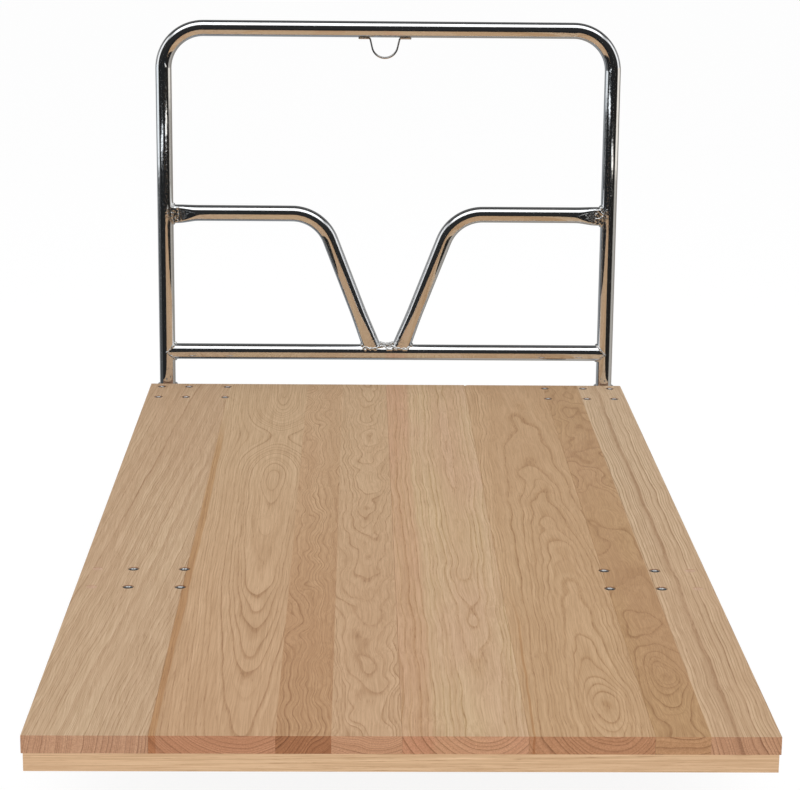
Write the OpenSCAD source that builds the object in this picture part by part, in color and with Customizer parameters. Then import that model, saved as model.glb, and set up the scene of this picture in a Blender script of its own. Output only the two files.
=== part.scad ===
// Platform truck: a hardwood deck on cross cleats, two rigid and two swivel casters,
// and a lift-out chromed push handle with a V brace, standing in two rear sockets.
// Frame: +X to the right, +Y from the front edge towards the handle, +Z up.
// The origin is on the floor, at the middle of the whole truck's outline.

/* [Deck] */
// Width across the boards
deck_w = 762; // [600:1:920]
// Length along the boards
deck_l = 1524; // [1200:1:1830]
// Thickness of the boards
board_t = 19; // [16:0.5:25]
// Open joint between two boards
board_gap = 0.15; // [0.1:0.05:1]
// Narrow strip in a board that is glued up from two strips
strip_w = 56; // [40:1:70]
// Chamfer along the boards' edges
board_chamfer = 0.3; // [0.2:0.1:1.5]

/* [Cleats] */
// Thickness of the cross cleats
cleat_t = 19; // [16:0.5:25]
// Width of the cross cleats
cleat_w = 140; // [135:1:160]
// Cleat end set back from the deck's side edge
cleat_inset = 2; // [0:0.5:10]
// Wood screw length under the head
wood_screw_l = 31; // [27:1:33]
// Wood screw diameter
wood_screw_d = 4.2; // [3.5:0.1:5]

/* [Caster positions] */
// Distance of a caster's centre from the deck's side edge
caster_side = 93.5; // [88:0.5:110]
// Distance of the front casters' centre from the front edge
caster_front = 508; // [400:1:600]
// Distance of the rear casters' centre from the rear edge
caster_rear = 55; // [50:0.5:70]
// Distance of the outer bolt column from the deck's side edge
outer_column = 19; // [17:0.5:24]

/* [Casters] */
// Height of a caster from its plate's top to the floor
caster_h = 165; // [156:0.5:185]
// Wheel diameter
wheel_d = 127; // [100:1:132]
// Wheel width over the tyre
wheel_w = 32; // [28:0.5:36]
// Thickness of the tyre
tyre_t = 13; // [8:0.5:18]
// Trail of a swivel caster's axle behind its kingpin
caster_trail = 38; // [30:0.5:42]
// Caster plate size across the deck
plate_x = 90; // [84:0.5:96]
// Caster plate size along the deck
plate_y = 100; // [92:0.5:110]
// Caster plate thickness
plate_t = 3.5; // [2.5:0.5:5]
// Bolt spacing across the deck
bolt_dx = 62; // [58:0.5:66]
// Bolt spacing along the deck
bolt_dy = 70; // [66:0.5:74]
// Fork sheet thickness
fork_t = 3.6; // [3:0.1:5]
// Axle bolt diameter
axle_d = 10; // [8:0.5:12]
// Race ball diameter
ball_d = 6.4; // [5:0.1:7]
// Kingpin shank diameter
kingpin_d = 12; // [10:0.5:14]

/* [Deck bolts] */
// Bolt shank diameter
bolt_d = 6.4; // [5:0.1:7]
// Bolt head diameter
bolt_head_d = 13.4; // [11:0.1:14]
// Height of the raised part of the bolt head
bolt_dome = 1.4; // [0.8:0.1:2]
// Depth of the head's rim below the deck
bolt_sink = 1.6; // [1.5:0.1:3]

/* [Handle] */
// Tube diameter of the handle
tube_d = 25.4; // [22:0.1:28]
// Wall of the handle tube
tube_wall = 1.65; // [1.2:0.05:3]
// Distance of a post's centre from the deck's side edge
post_side = 25.4; // [24:0.1:30]
// Height of the top bar's centre above the deck
top_bar_h = 571; // [480:1:680]
// Height of the crossbar's centre above the deck
crossbar_h = 50; // [40:1:80]
// Height of the brace arms' centre above the deck
arm_h = 277; // [230:1:330]
// Centreline radius of the two top bends
hoop_bend_r = 63.5; // [50:0.5:90]
// Centreline radius of a brace's bend
brace_bend_r = 67; // [50:0.5:80]
// Half distance between the corners of the two brace arms
brace_corner = 107.5; // [90:0.5:140]
// Lean of the brace legs from the vertical, in degrees
brace_lean = 21; // [18:1:22]
// Width of a brace's flattened end
brace_end_w = 32; // [29:0.5:34]
// Length over which a brace's upper end is flattened
arm_flat_l = 48; // [35:1:70]
// Length over which a brace's lower end is flattened
leg_flat_l = 76; // [50:1:90]

/* [Hanging strap] */
// Strap width
strap_w = 12; // [8:0.5:20]
// Strap thickness
strap_t = 2.6; // [1.5:0.1:4]
// Loop radius at the strap's middle
strap_r = 24; // [20:0.5:34]
// Straight part of the loop above its round
strap_drop = 8; // [3:0.5:15]
// Length of each welded tab
strap_tab = 16.5; // [8:0.5:22]
// Loop's offset from the handle's middle
strap_offset = -6; // [-10:0.5:10]

/* [Handle sockets] */
// Socket outer diameter
socket_d = 31.8; // [31:0.1:36]
// Socket height
socket_h = 66; // [50:1:70]
// Socket rim below the deck's top
socket_rim = 4; // [3:0.5:8]
// Thickness of the bracket under the deck and behind it
bracket_t = 4; // [3:0.5:6]
// Bracket width
bracket_w = 32; // [30:0.5:34]
// Thickness of the socket's floor
socket_floor = 4; // [2:0.5:8]

/* [Hidden] */
$fn = 64;

// Clearances
seat_gap = 0.05;        // between two pieces that sit in each other and don't move
run_gap = 0.05;         // radial clearance of a turning fit
slide_gap = 0.4;        // radial clearance of a post in its socket
side_gap = 0.3;         // end clearance of a moving piece
hole_gap = 0.3;         // radial clearance of a bolt in its hole
over = 1;               // how far a cut runs past the face it opens

// Heights
wheel_r = wheel_d / 2;
deck_top = caster_h + cleat_t + board_t;
cleat_top = deck_top - board_t;
cleat_bottom = cleat_top - cleat_t;
plate_bottom = caster_h - plate_t;

// The truck's outline along Y runs from the front edge to the swivelled wheels behind the deck
rear_reach = max(caster_trail + wheel_r - caster_rear, bracket_t + socket_d);
front_y = -(deck_l + rear_reach) / 2;
rear_y = front_y + deck_l;
left_x = -deck_w / 2;

// Boards: where each begins across the deck, its width, and whether its edges are open joints
board_w = deck_w / 6;
wide_w = board_w - strip_w;
glued_chamfer = 0.05;   // at a tight joint
corner_chip = 5;        // worn corner of one board at the rear
// each entry: name, left edge, width, open joint on its left, open joint on its right
BOARDS = [
    ["deck_board_1", 0, board_w, false, true],
    ["deck_board_2", board_w, board_w, true, false],
    ["deck_board_3_narrow", 2 * board_w, strip_w, false, false],
    ["deck_board_3_wide", 2 * board_w + strip_w, wide_w, false, true],
    ["deck_board_4", 3 * board_w, board_w, true, true],
    ["deck_board_5", 4 * board_w, board_w, true, true],
    ["deck_board_6_narrow", 5 * board_w, strip_w, true, false],
    ["deck_board_6_wide", 5 * board_w + strip_w, wide_w, false, false]
];

// Cleats: name and middle along Y
CLEATS = [
    ["front_cleat", front_y + cleat_w / 2],
    ["fore_cleat", front_y + caster_front],
    ["aft_cleat", (front_y + caster_front + rear_y - cleat_w / 2) / 2],
    ["rear_cleat", rear_y - cleat_w / 2]
];
screw_edge_x = 34;              // wood screw's distance from a full board's edge
screw_caster_x = 0.5;           // the outer board's inner wood screw, outward of the caster's centre
screw_edge_y = 20;              // wood screw's distance from the cleat's edge
wood_head_d = 2 * wood_screw_d;
wood_head_h = 3;

// Casters
caster_x = deck_w / 2 - caster_side;
front_caster_y = front_y + caster_front;
rear_caster_y = rear_y - caster_rear;
hub_gap = wheel_w + 6;          // between the fork's cheeks
bush_l = hub_gap - 2 * side_gap;
bush_d = axle_d + 6;
hub_d = bush_d + 18;
core_d = wheel_d - 2 * tyre_t;
web_t = 7;
rim_t = 6;
rib_t = 3;
ribs = 10;
race_r = 24;                    // circle that the race balls run on
race_gap = 10;                  // plate's underside to the fork's top
race_w = 13;
ball_gap = 0.3;
balls = 16;
crown_r = 34;
fork_top = plate_bottom - race_gap;
fork_bend = 7;                  // outer radius of the fork's shoulders
fork_boss_r = 15;
cheek_half = 30;                // half length of a fork's cheek at its top
rigid_half = 37;
kingpin_head_d = kingpin_d + 8;
kingpin_foot_h = 5;
head_h = 6;                     // hex head of an axle bolt
axle_nut_h = 8;
axle_tail = 3;

// Deck bolts
bolt_cone = (bolt_head_d - bolt_d) / 2;
nut_h = 5.4;
nut_r = bolt_d + 0.2;
bolt_tail = 1.2;
recess_r = 2.6;                 // cross recess in the bolt heads
recess_t = 1.1;
recess_h = 2.2;
plug_d = 13;
plug_t = 10;
plug_depth = 0.2;               // top of a wood plug below the deck

// Handle
tube_r = tube_d / 2;
bore_r = tube_r - tube_wall;
drain_r = 4;                    // hole in the socket's floor
post_x = deck_w / 2 - post_side;
post_y = rear_y + bracket_t - 0.6 + socket_d / 2;
socket_top = deck_top - socket_rim;
post_bottom = socket_top - socket_h + socket_floor + side_gap;
top_z = deck_top + top_bar_h;
cross_z = deck_top + crossbar_h;
arm_z = deck_top + arm_h;
brace_foot = brace_corner - (arm_h - crossbar_h) * tan(brace_lean);
brace_turn = 90 - brace_lean;
bend_swell = 0.1;       // a bend is this much thicker than the straight tube
bend_lap = 1;           // length of straight tube inside a bend's end
brace_tangent = brace_bend_r * tan(brace_turn / 2);
// a flattened tube keeps its girth
brace_end_t = (PI * tube_d - 2 * brace_end_w) / (PI - 2);
strap_top = top_z - tube_r;
strap_bite = 0.4;               // how deep the strap's tabs are welded into the tube's round
strap_hold = 3;                 // half the width of the tabs' flat against the tube

// ---------- helpers ----------

// A round bar from p to q in the plane y = 0
module rod(p, q, r) {
    d = q - p;
    l = norm(d);
    translate([p[0], 0, p[1]]) rotate([0, atan2(d[0], d[1]), 0]) cylinder(h = l, r = r);
}

// A round bar bent about c in the plane y = 0, from angle a over angle turn
module bend(c, bend_r, a, turn, r) {
    translate([c[0], 0, c[1]]) rotate([90, 0, 0]) rotate([0, 0, a])
        rotate_extrude(angle = turn) translate([bend_r, 0]) circle(r = r);
}

// A rectangle with round corners, centred
module round_plate(x, y, t, r) {
    linear_extrude(t) union() {
        square([x - 2 * r, y], center = true);
        square([x, y - 2 * r], center = true);
        for (sx = [-1, 1], sy = [-1, 1])
            translate([sx * (x / 2 - r), sy * (y / 2 - r)]) circle(r = r);
    }
}

module hex(r, h) {
    cylinder(h = h, r = r, $fn = 6);
}

// Places a child at each bolt of a caster's pattern
module at_caster_bolts() {
    for (sx = [-1, 1], cy = [front_caster_y, rear_caster_y], bx = [-1, 1], by = [-1, 1])
        translate([sx * caster_x + bx * bolt_dx / 2, cy + by * bolt_dy / 2, 0]) children();
}

// Places a child at each bolt of the outer columns beside one pair of casters
module at_outer_bolts(cy) {
    for (sx = [-1, 1], by = [-1, 1])
        translate([sx * (deck_w / 2 - outer_column), cy + by * bolt_dy / 2, 0]) children();
}

// ---------- deck ----------

// Clearance hole and countersink of a deck bolt, through the deck, the cleat and what is below
module bolt_hole() {
    translate([0, 0, plate_bottom - over]) cylinder(h = deck_top - plate_bottom, r = bolt_d / 2 + hole_gap);
    translate([0, 0, deck_top - bolt_sink - bolt_cone])
        cylinder(h = bolt_cone, r1 = bolt_d / 2 + hole_gap, r2 = bolt_head_d / 2 + hole_gap);
    translate([0, 0, deck_top - bolt_sink])
        cylinder(h = bolt_sink + over, r = bolt_head_d / 2 + hole_gap);
}

// The wood screws of one board in one cleat: across the deck, and front or back row.
// The outer board's inner screw keeps between the caster's two bolt columns.
function wood_screws_of(board) = board[2] == board_w
    ? [[board[1] + screw_edge_x, -1],
       [board[1] == 0 ? caster_side - screw_caster_x : board[1] + board_w - screw_edge_x, 1]]
    : [[board[1] + board[2] / 2, -1]];

// Places a child at each wood screw of one board and one cleat
module at_wood_screws(board, cleat) {
    for (s = wood_screws_of(board))
        translate([left_x + s[0], cleat[1] + s[1] * (cleat_w / 2 - screw_edge_y), 0]) children();
}

// A countersunk wood screw driven up into the deck from below; g is added all round for its hole
module wood_screw(g) {
    translate([0, 0, cleat_bottom]) {
        cylinder(h = wood_head_h, r1 = wood_head_d / 2 + g, r2 = wood_screw_d / 2 + g);
        cylinder(h = wood_screw_l + g, r = wood_screw_d / 2 + g);
    }
}

module deck_board(board) {
    w = board[2];
    lo = board[3] ? board_gap / 2 : 0;
    hi = w - (board[4] ? board_gap / 2 : 0);
    c = board_chamfer;
    cl = board[3] || board[1] == 0 ? c : glued_chamfer;
    cr = board[4] || board[1] + w > deck_w - over ? c : glued_chamfer;
    difference() {
        translate([left_x + board[1], rear_y, cleat_top]) rotate([90, 0, 0]) linear_extrude(deck_l)
            polygon([[lo + cl, 0], [hi - cr, 0], [hi, cr], [hi, board_t - cr],
                     [hi - cr, board_t], [lo + cl, board_t], [lo, board_t - cl], [lo, cl]]);
        for (cleat = CLEATS) at_wood_screws(board, cleat) wood_screw(seat_gap);
        if (board[0] == "deck_board_5") translate([left_x + board[1], rear_y, cleat_top - over])
            cylinder(h = board_t + 2 * over, r = corner_chip, $fn = 4);
        reach = bolt_head_d;
        for (sx = [-1, 1], dx = [-bolt_dx / 2, bolt_dx / 2, deck_w / 2 - outer_column - caster_x]) {
            x = sx * (caster_x + dx);
            if (x > left_x + board[1] - reach && x < left_x + board[1] + w + reach)
                for (cy = [front_caster_y, rear_caster_y], by = [-1, 1])
                    translate([x, cy + by * bolt_dy / 2, 0])
                        if (cy == front_caster_y && dx > bolt_dx / 2) plug_hole(); else bolt_hole();
        }
    }
}

module plug_hole() {
    translate([0, 0, deck_top - plug_t]) cylinder(h = plug_t + over, r = plug_d / 2 + seat_gap);
}

// Wood plugs that fill the unused outer holes beside the front casters
module hole_plugs() {
    color("tan") at_outer_bolts(front_caster_y) translate([0, 0, deck_top - plug_t])
        cylinder(h = plug_t - plug_depth, r = plug_d / 2);
}

module cleat(c) {
    color("burlywood") difference() {
        translate([left_x + cleat_inset, c[1] - cleat_w / 2, cleat_bottom])
            cube([deck_w - 2 * cleat_inset, cleat_w, cleat_t]);
        for (board = BOARDS) at_wood_screws(board, c) wood_screw(seat_gap);
        if (abs(c[1] - front_caster_y) < cleat_w || abs(c[1] - rear_caster_y) < cleat_w)
            at_caster_bolts() bolt_hole();
        if (abs(c[1] - rear_caster_y) < cleat_w) at_outer_bolts(rear_caster_y) bolt_hole();
    }
}

module cleat_screws() {
    color("silver") for (c = CLEATS, board = BOARDS) at_wood_screws(board, c) wood_screw(0);
}

// ---------- deck bolts ----------

// A raised countersunk bolt with a cross recess; foot is the underside that its nut bears on
module deck_bolt(foot) {
    shank_bottom = foot - nut_h - bolt_tail;
    rim = deck_top - bolt_sink;
    dome_r = (pow(bolt_head_d / 2, 2) + pow(bolt_dome, 2)) / (2 * bolt_dome);
    difference() {
        union() {
            translate([0, 0, shank_bottom]) cylinder(h = rim - bolt_cone - shank_bottom, r = bolt_d / 2);
            translate([0, 0, rim - bolt_cone])
                cylinder(h = bolt_cone, r1 = bolt_d / 2, r2 = bolt_head_d / 2);
            translate([0, 0, rim]) intersection() {
                translate([0, 0, bolt_dome - dome_r]) sphere(r = dome_r);
                cylinder(h = bolt_dome + over, r = bolt_head_d / 2);
            }
        }
        for (a = [0, 90]) rotate([0, 0, a])
            translate([-recess_r, -recess_t / 2, rim + bolt_dome - recess_h])
                cube([2 * recess_r, recess_t, recess_h + over]);
    }
}

module deck_nut(foot) {
    translate([0, 0, foot - nut_h]) difference() {
        hex(nut_r, nut_h);
        translate([0, 0, -over]) cylinder(h = nut_h + 2 * over, r = bolt_d / 2 + seat_gap);
    }
}

module caster_bolts() { color("silver") at_caster_bolts() deck_bolt(plate_bottom); }
module caster_nuts() { color("silver") at_caster_bolts() deck_nut(plate_bottom); }
module bracket_bolts() { color("silver") at_outer_bolts(rear_caster_y) deck_bolt(cleat_bottom - bracket_t); }
module bracket_nuts() { color("silver") at_outer_bolts(rear_caster_y) deck_nut(cleat_bottom - bracket_t); }

// ---------- handle sockets ----------

// An angle bracket under the rear cleat, turned up behind the deck, that carries one socket
module socket_bracket(side) {
    back = rear_y - caster_rear - bolt_dy / 2 - 14;
    color("gainsboro") difference() {
        union() {
            translate([side * post_x - bracket_w / 2, back, cleat_bottom - bracket_t])
                cube([bracket_w, rear_y + bracket_t - back, bracket_t]);
            translate([side * post_x - bracket_w / 2, rear_y, cleat_bottom - bracket_t])
                cube([bracket_w, bracket_t, socket_top - 2 - cleat_bottom + bracket_t]);
        }
        at_outer_bolts(rear_caster_y) translate([0, 0, cleat_bottom - bracket_t - over])
            cylinder(h = bracket_t + 2 * over, r = bolt_d / 2 + hole_gap);
        translate([side * post_x, post_y, cleat_bottom - bracket_t - over])
            cylinder(h = socket_h, r = socket_d / 2 + seat_gap);
    }
}

module handle_socket(side) {
    color("gainsboro") translate([side * post_x, post_y, socket_top - socket_h]) difference() {
        cylinder(h = socket_h, r = socket_d / 2);
        translate([0, 0, socket_floor]) cylinder(h = socket_h, r = tube_r + slide_gap);
        translate([0, 0, -over]) cylinder(h = socket_h, r = drain_r);
    }
}

// ---------- handle ----------

// The hoop's solid at radius r, its posts drawn longer by extra at the bottom
module hoop_path(r, extra) {
    straight = post_x - hoop_bend_r;
    for (s = [-1, 1]) {
        rod([s * post_x, post_bottom - extra], [s * post_x, top_z - hoop_bend_r + bend_lap], r);
        bend([s * straight, top_z - hoop_bend_r], hoop_bend_r, s > 0 ? 0 : 90, 90, r + bend_swell);
    }
    rod([-straight - bend_lap, top_z], [straight + bend_lap, top_z], r);
}

module handle_hoop() {
    color("lightgray") translate([0, post_y, 0]) difference() {
        hoop_path(tube_r, 0);
        hoop_path(bore_r, over);
    }
}

module handle_crossbar() {
    color("lightgray") translate([0, post_y, 0]) difference() {
        rod([-post_x, cross_z], [post_x, cross_z], tube_r);
        rod([-post_x - over, cross_z], [post_x + over, cross_z], bore_r);
        for (s = [-1, 1]) rod([s * post_x, cross_z - tube_d], [s * post_x, cross_z + tube_d], tube_r);
    }
}

// A thin slice across a brace at p, facing along angle a from +X; flat makes it the flattened section.
// The round one holds the straight tube's end inside it.
module brace_slice(p, a, r, flat) {
    sides = 32;
    half = brace_end_w / 2 - (tube_r - r);
    round_r = brace_end_t / 2 - (tube_r - r);
    translate([p[0], 0, p[1]]) rotate([0, 90 - a, 0]) linear_extrude(2 * bend_lap, center = true)
        if (flat) {
            for (s = [-1, 1]) translate([s * (half - round_r), 0]) circle(r = round_r, $fn = sides);
        } else circle(r = (r + bend_swell) / cos(180 / sides), $fn = sides);
}

// Everything of one brace, on the left, drawn at radius r
module brace_path(r) {
    along = [sin(brace_lean), -cos(brace_lean)];
    corner = [-brace_corner, arm_z];
    bend_start = corner - [brace_tangent, 0];
    bend_end = corner + brace_tangent * along;
    foot = [-brace_foot, cross_z];
    arm_round = [arm_flat_l - post_x, arm_z];
    arm_flat = [tube_r / 2 - post_x, arm_z];
    leg_round = foot - leg_flat_l * along;
    leg_flat = foot - tube_r / 2 * along;
    rod(arm_round, bend_start + [bend_lap, 0], r);
    bend(bend_start - [0, brace_bend_r], brace_bend_r, brace_lean, brace_turn, r + bend_swell);
    rod(bend_end - bend_lap * along, leg_round, r);
    hull() {
        brace_slice(arm_round, 0, r, false);
        brace_slice(arm_flat, 0, r, true);
    }
    hull() {
        brace_slice(leg_round, brace_lean - 90, r, false);
        brace_slice(leg_flat, brace_lean - 90, r, true);
    }
}

module handle_brace(side) {
    color("lightgray") translate([0, post_y, 0]) mirror([side > 0 ? 1 : 0, 0, 0]) difference() {
        brace_path(tube_r);
        brace_path(bore_r);
        rod([-post_x, arm_z - tube_d], [-post_x, arm_z + tube_d], tube_r);
        rod([-post_x, cross_z], [post_x, cross_z], tube_r);
    }
}

// A flat strap bent into a hanging loop, with a tab at each end welded under the top bar
module hanging_strap() {
    outer = strap_r + strap_t / 2;
    inner = strap_r - strap_t / 2;
    round_z = strap_top - strap_drop;
    color("lightgray") translate([strap_offset, post_y + strap_w / 2, 0]) difference() {
        rotate([90, 0, 0]) linear_extrude(strap_w) union() {
            translate([0, round_z]) intersection() {
                difference() {
                    circle(r = outer);
                    circle(r = inner);
                }
                translate([-outer, -outer]) square([2 * outer, outer]);
            }
            for (s = [-1, 1]) {
                translate([s * strap_r - strap_t / 2, round_z]) square([strap_t, strap_drop]);
                translate([s * (strap_r + strap_tab / 2) - strap_tab / 2 - strap_t / 2, strap_top - strap_t])
                    square([strap_tab + strap_t, strap_t + strap_bite]);
            }
        }
        translate([0, -strap_w / 2, 0])
            rod([-2 * outer - strap_tab, top_z], [2 * outer + strap_tab, top_z], tube_r);
    }
}

// ---------- casters ----------

// Outline of a fork's cheek from its top edge down to the axle boss, along Y and Z from the axle
module cheek_outline(top_y, half, h) {
    polygon([
        [top_y - half, h], [top_y + half, h], [top_y + half, h - 14],
        [fork_boss_r, 4], [fork_boss_r * 0.9, 0], [-fork_boss_r * 0.9, 0], [-fork_boss_r, 4],
        [top_y - half, h - 14]
    ]);
    circle(r = fork_boss_r);
}

// Inverted U of the fork across X, its top at height h above the axle
module fork_section(h) {
    outer = hub_gap / 2 + fork_t;
    b = fork_bend;
    difference() {
        union() {
            translate([-outer, -2 * fork_boss_r]) square([2 * outer, h - b + 2 * fork_boss_r]);
            translate([b - outer, 0]) square([2 * (outer - b), h]);
            for (s = [-1, 1]) translate([s * (outer - b), h - b]) circle(r = b);
        }
        translate([-hub_gap / 2, -2 * fork_boss_r - over])
            square([hub_gap, h - fork_t + 2 * fork_boss_r + over]);
    }
}

// The folded sheet of a fork, from its axle up to top_z; top_y is the middle of its top edge
module fork_body(top_y, half, h) {
    difference() {
        intersection() {
            translate([0, 200, 0]) rotate([90, 0, 0]) linear_extrude(400) fork_section(h);
            translate([-100, 0, 0]) rotate([90, 0, 90]) linear_extrude(200) cheek_outline(top_y, half, h);
        }
        rotate([0, 90, 0]) cylinder(h = 2 * hub_gap, r = axle_d / 2 + run_gap, center = true);
    }
}

module plate_holes() {
    for (bx = [-1, 1], by = [-1, 1])
        translate([bx * bolt_dx / 2, by * bolt_dy / 2, -over]) cylinder(h = plate_t + 2 * over, r = bolt_d / 2 + hole_gap);
}

module rigid_fork(side) {
    color("gainsboro") translate([side * caster_x, front_caster_y, 0]) union() {
        translate([0, 0, plate_bottom]) difference() {
            round_plate(plate_x, plate_y, plate_t, 8);
            plate_holes();
        }
        translate([0, 0, wheel_r]) fork_body(0, rigid_half, plate_bottom - wheel_r);
    }
}

// The groove that the race balls run in
module ball_groove() {
    translate([0, 0, plate_bottom - race_gap / 2]) rotate_extrude() translate([race_r, 0])
        circle(r = ball_d / 2 + ball_gap);
}

race_depth = (race_gap - 3) / 2;

module swivel_plate(side) {
    color("gainsboro") translate([side * caster_x, rear_caster_y, 0]) difference() {
        union() {
            translate([0, 0, plate_bottom]) round_plate(plate_x, plate_y, plate_t, 8);
            translate([0, 0, plate_bottom - race_depth]) cylinder(h = race_depth, r = race_r + race_w / 2);
        }
        translate([0, 0, plate_bottom - race_depth - over])
            cylinder(h = race_depth + over, r = race_r - race_w / 2);
        ball_groove();
        translate([0, 0, plate_bottom]) plate_holes();
        kingpin_shape(seat_gap);
    }
}

// The kingpin: a countersunk head flush in the plate, a shank, and a closing head under the fork
module kingpin_shape(g) {
    foot = fork_top - fork_t - side_gap;
    translate([0, 0, plate_bottom])
        cylinder(h = plate_t, r1 = kingpin_d / 2 + g, r2 = kingpin_head_d / 2 + g);
    translate([0, 0, foot]) cylinder(h = plate_bottom - foot + over, r = kingpin_d / 2 + g);
    translate([0, 0, foot - kingpin_foot_h]) cylinder(h = kingpin_foot_h, r = kingpin_head_d / 2);
}

module kingpin(side) {
    color("silver") translate([side * caster_x, rear_caster_y, 0]) kingpin_shape(0);
}

module race_balls(side) {
    color("silver") translate([side * caster_x, rear_caster_y, plate_bottom - race_gap / 2])
        for (i = [0:balls - 1]) rotate([0, 0, i * 360 / balls]) translate([race_r, 0, 0])
            sphere(r = ball_d / 2);
}

module swivel_fork(side) {
    color("gainsboro") translate([side * caster_x, rear_caster_y, 0]) difference() {
        union() {
            translate([0, caster_trail, wheel_r])
                fork_body(-caster_trail + 6, cheek_half, fork_top - wheel_r);
            translate([0, 0, fork_top - fork_t]) cylinder(h = fork_t, r = crown_r);
            translate([0, 0, fork_top]) cylinder(h = race_depth, r = race_r + race_w / 2);
        }
        ball_groove();
        translate([0, 0, fork_top]) cylinder(h = race_depth + over, r = race_r - race_w / 2);
        translate([0, 0, fork_top - fork_t - over])
            cylinder(h = fork_t + 2 * over, r = kingpin_d / 2 + run_gap);
    }
}

// ---------- wheels and axles, drawn about the axle ----------

module axle_bolt() {
    outer = hub_gap / 2 + fork_t;
    rotate([0, 90, 0]) union() {
        translate([0, 0, -outer - head_h]) hex(axle_d * 0.87, head_h);
        translate([0, 0, -outer]) cylinder(h = 2 * outer + axle_nut_h + axle_tail, r = axle_d / 2);
    }
}

module axle_nut() {
    outer = hub_gap / 2 + fork_t;
    rotate([0, 90, 0]) translate([0, 0, outer]) difference() {
        union() {
            hex(axle_d * 0.87, axle_nut_h - 2);
            cylinder(h = axle_nut_h, r = axle_d * 0.68);
        }
        translate([0, 0, -over]) cylinder(h = axle_nut_h + 2 * over, r = axle_d / 2 + seat_gap);
    }
}

module tyre() {
    shoulder = 4;
    crown = 1.5;
    color("dimgray") rotate([0, 90, 0]) rotate_extrude($fn = 96) polygon([
        [core_d / 2 + seat_gap, -wheel_w / 2 + 1], [wheel_r - shoulder - crown, -wheel_w / 2],
        [wheel_r - crown, -wheel_w / 2 + shoulder], [wheel_r, -wheel_w / 2 + 2.5 * shoulder],
        [wheel_r, wheel_w / 2 - 2.5 * shoulder], [wheel_r - crown, wheel_w / 2 - shoulder],
        [wheel_r - shoulder - crown, wheel_w / 2], [core_d / 2 + seat_gap, wheel_w / 2 - 1]
    ]);
}

module wheel_core() {
    rim_w = wheel_w - 2;
    hub_l = wheel_w + 2;
    rib_r = (hub_d + core_d) / 4;
    color("gray") rotate([0, 90, 0]) difference() {
        union() {
            difference() {
                cylinder(h = rim_w, r = core_d / 2, center = true);
                cylinder(h = rim_w + 2 * over, r = core_d / 2 - rim_t, center = true);
            }
            cylinder(h = web_t, r = core_d / 2 - rim_t / 2, center = true);
            cylinder(h = hub_l, r = hub_d / 2, center = true);
            for (i = [0:ribs - 1]) rotate([0, 0, i * 360 / ribs]) translate([rib_r, 0, 0])
                cube([(core_d - hub_d) / 2 - rim_t / 2, rib_t, rim_w - 8], center = true);
        }
        cylinder(h = hub_l + 2 * over, r = bush_d / 2 + seat_gap, center = true);
    }
}

module wheel_bush() {
    color("darkgoldenrod") rotate([0, 90, 0]) difference() {
        cylinder(h = bush_l, r = bush_d / 2, center = true);
        cylinder(h = bush_l + 2 * over, r = axle_d / 2 + run_gap, center = true);
    }
}

// Puts a child on a wheel's axle: row is "front" or "rear", side is -1 or 1
module at_axle(row, side) {
    translate([side * caster_x, row == "front" ? front_caster_y : rear_caster_y + caster_trail, wheel_r])
        children();
}

// ---------- nodes ----------

for (board = BOARDS) color("burlywood") deck_board(board);
hole_plugs();
for (c = CLEATS) cleat(c);
cleat_screws();
caster_bolts();
caster_nuts();
bracket_bolts();
bracket_nuts();
handle_hoop();
handle_crossbar();
hanging_strap();
for (s = [[-1, "left"], [1, "right"]]) {
    socket_bracket(s[0]);
    handle_socket(s[0]);
    handle_brace(s[0]);
    rigid_fork(s[0]);
    swivel_plate(s[0]);
    kingpin(s[0]);
    race_balls(s[0]);
    swivel_fork(s[0]);
    color("silver") at_axle("front", s[0]) axle_bolt();  // rigid_axle_bolts
    color("silver") at_axle("front", s[0]) axle_nut();  // rigid_axle_nuts
    color("silver") at_axle("rear", s[0]) axle_bolt();
    color("silver") at_axle("rear", s[0]) axle_nut();
    for (row = ["front", "rear"]) {
        at_axle(row, s[0]) tyre();
        at_axle(row, s[0]) wheel_core();
        at_axle(row, s[0]) wheel_bush();
    }
}
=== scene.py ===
import math
import random

import bmesh
import bpy
from mathutils import Matrix, Vector


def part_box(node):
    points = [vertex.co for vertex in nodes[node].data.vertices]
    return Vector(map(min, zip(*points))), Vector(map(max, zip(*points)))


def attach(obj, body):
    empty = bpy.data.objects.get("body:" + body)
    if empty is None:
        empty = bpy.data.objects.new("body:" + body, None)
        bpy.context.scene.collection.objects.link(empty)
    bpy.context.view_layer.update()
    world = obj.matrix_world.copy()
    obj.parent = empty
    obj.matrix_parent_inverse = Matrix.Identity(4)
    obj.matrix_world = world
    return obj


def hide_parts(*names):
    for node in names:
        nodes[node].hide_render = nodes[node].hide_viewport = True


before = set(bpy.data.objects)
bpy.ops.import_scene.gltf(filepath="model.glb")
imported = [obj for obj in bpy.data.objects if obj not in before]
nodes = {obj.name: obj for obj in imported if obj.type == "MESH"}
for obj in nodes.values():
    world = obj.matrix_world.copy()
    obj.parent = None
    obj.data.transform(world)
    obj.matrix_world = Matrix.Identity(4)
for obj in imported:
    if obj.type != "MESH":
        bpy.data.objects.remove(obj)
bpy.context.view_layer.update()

random.seed(11)

# ---- sizes read from the frame ----
hoop_low, hoop_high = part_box("handle_hoop")
bar_low, bar_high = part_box("handle_crossbar")
strap_low, strap_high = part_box("hanging_strap")
board_low, board_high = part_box("deck_board_1")
side_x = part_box("deck_board_6_wide")[1].x

deck_top = board_high.z
front_y, rear_y = board_low.y, board_high.y
tube = (bar_high.z - bar_low.z) / 2
handle_y = (bar_high.y + bar_low.y) / 2
bar_z = (bar_high.z + bar_low.z) / 2
post_x = hoop_high.x - tube
top_z = hoop_high.z - tube

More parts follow.
